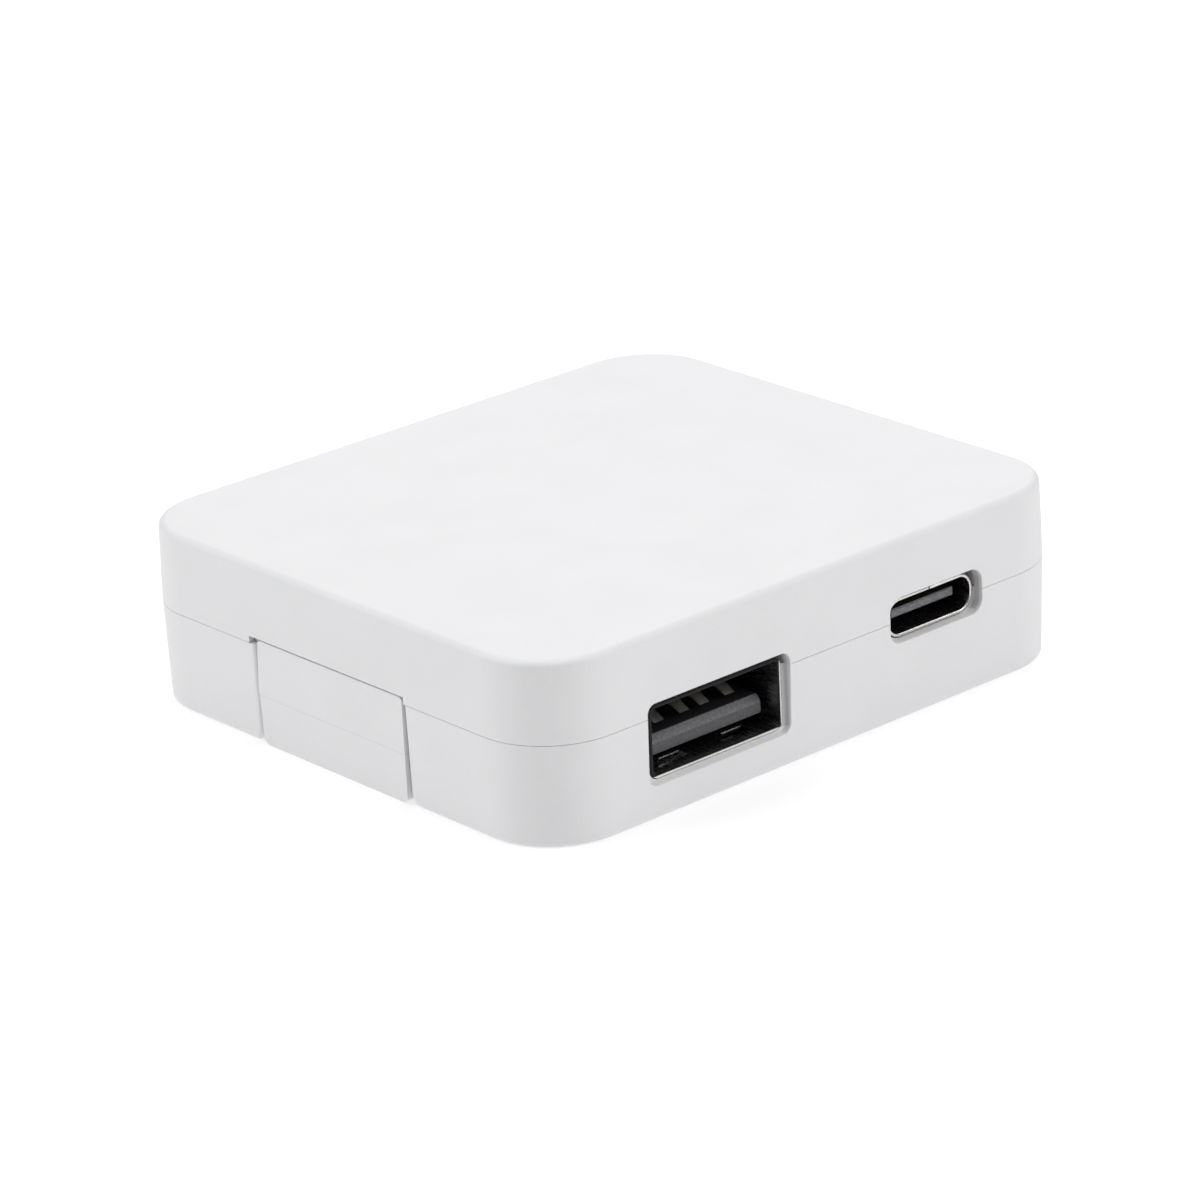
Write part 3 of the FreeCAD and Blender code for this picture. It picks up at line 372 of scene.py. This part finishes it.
PARTING_LINE = 0.525            # how far down the hub's end the mould's line is
FINISHES = {
    "case_white": recessed_white("case_plastic", (0.80, 0.80, 0.812), 0.52),
    "hub_white": parted_white("hub_plastic", "plug_hub", (0.80, 0.80, 0.812), 0.48),
    "blade_nickel": plated("blade_plating", (0.78, 0.76, 0.72), (0.68, 0.66, 0.62), 0.26, (0.05, 1, 1)),
    "pin_brass": plated("pin_metal", (0.80, 0.62, 0.30), (0.66, 0.48, 0.22), 0.30, (1, 0.05, 1)),
    "spring_bronze": plated("spring_strip", (0.72, 0.48, 0.28), (0.58, 0.38, 0.22), 0.32, (1, 1, 0.05)),
    "port_steel": receptacle_steel(),
    "port_insulator": receptacle_plastic(),
    "contact_gold": contact_alloy(),
    "board_green": solder_mask(),
    "ferrite": moulded_dark("ground_ferrite", (0.06, 0.06, 0.065), 0.55, 0.3 * MM),
    "bobbin_black": moulded_dark("bobbin_plastic", (0.02, 0.02, 0.02), 0.45),
    "copper_wire": woven_wire("enamelled_wire", (0.72, 0.34, 0.16), 0.35 * MM),
    "tape_yellow": moulded_dark("polyester_tape", (0.72, 0.50, 0.05), 0.30, 2 * MM),
    "capacitor_sleeve": moulded_dark("shrink_sleeve", (0.02, 0.025, 0.04), 0.25, 3 * MM),
    "capacitor_can": plated("drawn_can", (0.80, 0.80, 0.81), (0.70, 0.70, 0.71), 0.28, (1, 1, 0.05)),
    "chip_black": moulded_dark("chip_epoxy", (0.025, 0.025, 0.027), 0.50, 0.1 * MM),
    "disc_blue": moulded_dark("dipped_coating", (0.04, 0.14, 0.38), 0.35, 0.8 * MM),
    "fuse_body": moulded_dark("fuse_ceramic", (0.62, 0.57, 0.46), 0.45, 0.4 * MM),
    "spreader_aluminium": plated("spreader_sheet", (0.76, 0.77, 0.78), (0.66, 0.67, 0.68), 0.34,
                                 (0.05, 1, 1)),
    "pad_grey": moulded_dark("silicone_pad", (0.33, 0.34, 0.36), 0.75, 0.25 * MM),
    "film_clear": moulded_dark("insulating_film", (0.62, 0.60, 0.52), 0.22, 4 * MM),
}

SLOTS = {entry["node"]: entry["material_slot"] for entry in frame["record"]["subparts"]}
BODY_OF = {node: body for body, nodes in frame["record"]["behaviour"]["bodies"].items() for node in nodes}
for node_name, node in frame["nodes"].items():
    node.material_slots[0].material = FINISHES[SLOTS[node_name]].material


# ---------------------------------------------------------------- pieces
SHARP = math.radians(30)


def merged_copy(node_name):
    """Work mesh of a CAD node: its doubles merged, its flat faces made whole again."""
    work = bmesh.new()
    work.from_mesh(frame["nodes"][node_name].data)
    bmesh.ops.remove_doubles(work, verts=work.verts, dist=0.0005 * MM)
    bmesh.ops.dissolve_limit(work, angle_limit=math.radians(0.5), verts=work.verts, edges=work.edges)
    return work


def corners_of(work, test=lambda edge: True):
    """Edges where two faces meet at more than the sharp angle and that pass a test."""
    return [edge for edge in work.edges
            if len(edge.link_faces) == 2 and edge.calc_face_angle(0) > SHARP and test(edge)]


def round_edges(work, radius, test=lambda edge: True, segments=2):
    """Round a work mesh's sharp edges."""
    bmesh.ops.bevel(work, geom=corners_of(work, test), offset=radius, offset_type="OFFSET",
                    segments=segments, profile=0.5, affect="EDGES", material=-1, clamp_overlap=True)


def add_piece(name, work, slot, body, replaced=()):
    """Make an object of a work mesh with a slot's finish; it rides on a body."""
    mesh = bpy.data.meshes.new(name)
    work.to_mesh(mesh)
    work.free()
    piece = bpy.data.objects.new(name, mesh)
    bpy.context.scene.collection.objects.link(piece)
    mesh.materials.append(FINISHES[slot].material)
    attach(piece, body)
    if replaced:
        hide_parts(*replaced)


def finish_piece(name, work, node_names):
    """Make a piece that stands for CAD nodes: shaded smooth, except at its sharp edges."""
    for face in work.faces:
        face.smooth = True
    for edge in work.edges:
        edge.smooth = len(edge.link_faces) == 2 and edge.calc_face_angle(0) < SHARP
    add_piece(name, work, SLOTS[node_names[0]], BODY_OF[node_names[0]], node_names)


# radius in mm of each piece's rounded edges
STAMPED_EDGES = {"usb_a_shell": 0.05, "usb_c_shell": 0.06, "live_blade": 0.12, "neutral_blade": 0.12,
                 "usb_a_contacts": 0.05, "live_contact_spring": 0.05, "neutral_contact_spring": 0.05,
                 "heat_spreader": 0.08, "transformer_core_near": 0.15, "transformer_core_far": 0.15,
                 "usb_a_insulator": 0.06, "usb_c_insulator": 0.04}
for node_name, radius in STAMPED_EDGES.items():
    shape = merged_copy(node_name)
    round_edges(shape, radius * MM)
    finish_piece(node_name + "_edged", shape, [node_name])


CHOKE_WIRE = 0.44 * MM
CHOKE_HOLE = 2.2 * MM           # radius of the hole through the wound ring
TURNS_PER_HALF = 9
HALF_SPREAD = math.radians(152)
WIRE_SIDES = 8
BEND_STEPS = 12                 # a multiple of 4, so that each quarter of the turn is alike


def wire_turn(reach, rise):
    """One turn of round wire about the Y axis: a square loop of round corners, this far out and up."""
    turn = bmesh.new()
    bend = 0.8 * CHOKE_WIRE
    section = bmesh.ops.create_circle(turn, cap_ends=False, radius=CHOKE_WIRE / 2,
                                        segments=WIRE_SIDES)
    bmesh.ops.translate(turn, verts=section["verts"], vec=(bend, 0, 0))
    bmesh.ops.spin(turn, geom=turn.verts[:] + turn.edges[:], axis=(0, 1, 0), cent=(0, 0, 0),
                   angle=2 * math.pi, steps=BEND_STEPS, use_merge=True)
    half_step = Matrix.Rotation(math.pi / BEND_STEPS, 3, "Y")
    bmesh.ops.rotate(turn, verts=turn.verts, cent=(0, 0, 0), matrix=half_step)
    straight = (reach - bend - CHOKE_WIRE / 2, rise - bend - CHOKE_WIRE / 2)
    for vert in turn.verts:
        vert.co.x += math.copysign(straight[0], vert.co.x)
        vert.co.z += math.copysign(straight[1], vert.co.z)
    bmesh.ops.recalc_face_normals(turn, faces=turn.faces)
    mesh = bpy.data.meshes.new("wire_turn")
    turn.to_mesh(mesh)
    turn.free()
    return mesh


def choke_windings():
    """Two windings of enamelled wire, side by side round the choke's ring."""
    low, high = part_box("choke_winding")
    middle = (low + high) / 2
    outside = (high.x - low.x) / 2
    section_middle = (outside + CHOKE_HOLE - CHOKE_WIRE) / 2
    turn = wire_turn(outside - section_middle, (high.z - low.z) / 2)
    coil = bmesh.new()
    for half in range(2):
        for number in range(TURNS_PER_HALF):
            first = len(coil.verts)
            coil.from_mesh(turn)
            coil.verts.ensure_lookup_table()
            added = coil.verts[first:]
            spread = (number / (TURNS_PER_HALF - 1) - 0.5) * HALF_SPREAD
            place = Matrix.Rotation(half * math.pi + spread, 4, "Z")
            place = place @ Matrix.Translation((section_middle, 0, 0))
            bmesh.ops.transform(coil, matrix=Matrix.Translation(middle) @ place, verts=added)
    bpy.data.meshes.remove(turn)
    finish_piece("choke_windings", coil, ["choke_winding"])


JOINT_RADIUS = 0.55 * MM
LEAD_RADIUS = 0.20 * MM
LEAD_LENGTH = 2.6 * JOINT_RADIUS
LEAD_PITCH = 2.5 * MM
SOLDERED = ("output_capacitor_front", "choke_core", "line_fuse")


def solder_joints():
    """Domes of solder on top of the board, each round the cut end of a lead."""
    board_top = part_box("main_board")[1].z
    joints = bmesh.new()
    for node_name in SOLDERED:
        low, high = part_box(node_name)
        middle = (low + high) / 2
        for side in (-1, 1):
            spot = Vector((middle.x, middle.y + side * LEAD_PITCH / 2, board_top))
            dome = bmesh.ops.create_uvsphere(joints, u_segments=16, v_segments=10, radius=JOINT_RADIUS)
            bmesh.ops.translate(joints, verts=dome["verts"], vec=spot)
            lead = bmesh.ops.create_cone(joints, cap_ends=True, segments=12, radius1=LEAD_RADIUS,
                                         radius2=LEAD_RADIUS * 0.9, depth=LEAD_LENGTH)
            bmesh.ops.translate(joints, verts=lead["verts"], vec=spot)
    under_board = joints.verts[:] + joints.edges[:] + joints.faces[:]
    bmesh.ops.bisect_plane(joints, geom=under_board, plane_co=(0, 0, board_top), plane_no=(0, 0, 1),
                           clear_inner=True)
    rims = [edge for edge in joints.edges if edge.is_boundary]
    bmesh.ops.holes_fill(joints, edges=rims, sides=0)
    bmesh.ops.recalc_face_normals(joints, faces=joints.faces)
    for face in joints.faces:
        face.smooth = True
    add_piece("solder_joints", joints, "capacitor_can", BODY_OF["main_board"])


choke_windings()
solder_joints()


# ---------------------------------------------------------------- stage
# strength of the surround, power of the four lamps in watts, glow and grey of the floor
SURROUND = 0.14
OVERHEAD = 4.62
LEFT_SIDE = 2.12
RIGHT_SIDE = 2.05
FAR_CORNER = 0.9
FLOOR_GLOW = 0.50
FLOOR_GREY = (0.58, 0.58, 0.58, 1)
FLOOR_HALF = 4.0
FLOOR_DROP = 0.02 * MM
SIDE_LAMP = (0.5, 0.4)


def stage_floor():
    """Plain pale floor, a little luminous so that it stays evenly light."""
    mesh = bpy.data.meshes.new("floor")
    work = bmesh.new()
    just_below = Matrix.Translation((0, 0, -FLOOR_DROP))
    bmesh.ops.create_grid(work, x_segments=1, y_segments=1, size=FLOOR_HALF, matrix=just_below)
    work.to_mesh(mesh)
    work.free()
    floor = bpy.data.objects.new("floor", mesh)
    bpy.context.scene.collection.objects.link(floor)
    finish = Finish("floor_paper", Roughness=0.9, Emission_Strength=FLOOR_GLOW)
    finish.set(Base_Color=FLOOR_GREY, Emission_Color=(1, 1, 1, 1), Specular_IOR_Level=0.1)
    mesh.materials.append(finish.material)


def soft_light(name, power, size, place, aim=(0, 0, 0.007)):
    """Rectangular area light that faces a point of the charger."""
    data = bpy.data.lights.new(name, "AREA")
    data.energy = power
    data.shape = "RECTANGLE"
    data.size, data.size_y = size
    lamp = bpy.data.objects.new(name, data)
    lamp.location = place
    way = Vector(aim) - Vector(place)
    lamp.rotation_euler = way.to_track_quat("-Z", "Y").to_euler()
    bpy.context.scene.collection.objects.link(lamp)


def studio():
    """White surround, a broad lamp overhead, one to each side of the camera, one at the far corner."""
    world = bpy.data.worlds.new("surround")
    world.use_nodes = True
    world.node_tree.nodes["Background"].inputs["Color"].default_value = (1, 1, 1, 1)
    world.node_tree.nodes["Background"].inputs["Strength"].default_value = SURROUND
    bpy.context.scene.world = world
    soft_light("overhead", OVERHEAD, (0.9, 0.9), (0.0, 0.0, 0.8))
    soft_light("left_side", LEFT_SIDE, SIDE_LAMP, (-0.50, 0.38, 0.42))
    soft_light("right_side", RIGHT_SIDE, SIDE_LAMP, (0.34, -0.54, 0.42))
    soft_light("far_corner", FAR_CORNER, SIDE_LAMP, (0.5, 0.5, 0.3))
    bpy.context.scene.view_settings.view_transform = "Standard"


# The lens sees the case from its plug end and its receptacle side, from a little above.
CAMERA_AZIMUTH = math.radians(-40.84)
CAMERA_ELEVATION = math.radians(21.43)
CAMERA_ROLL = math.radians(-2.845)
CAMERA_DISTANCE = 395.77 * MM
CAMERA_AIM = Vector((-0.535, -0.162, 5.995)) * MM
LENS_MM = 154.8


def photo_camera():
    """Long lens at the viewing angle, turned a little about its own axis."""
    data = bpy.data.cameras.new("camera")
    data.lens = LENS_MM
    data.sensor_width = 36
    data.clip_start = 0.01
    data.clip_end = 10
    camera = bpy.data.objects.new("camera", data)
    level = math.cos(CAMERA_ELEVATION)
    back = Vector((math.sin(CAMERA_AZIMUTH) * level, -math.cos(CAMERA_AZIMUTH) * level,
                   math.sin(CAMERA_ELEVATION)))
    camera.rotation_mode = "QUATERNION"
    turn = Matrix.Rotation(CAMERA_ROLL, 4, "Z").to_quaternion()
    camera.rotation_quaternion = (-back).to_track_quat("-Z", "Y") @ turn
    camera.location = CAMERA_AIM + back * CAMERA_DISTANCE
    bpy.context.scene.collection.objects.link(camera)
    bpy.context.scene.camera = camera


stage_floor()
studio()
photo_camera()
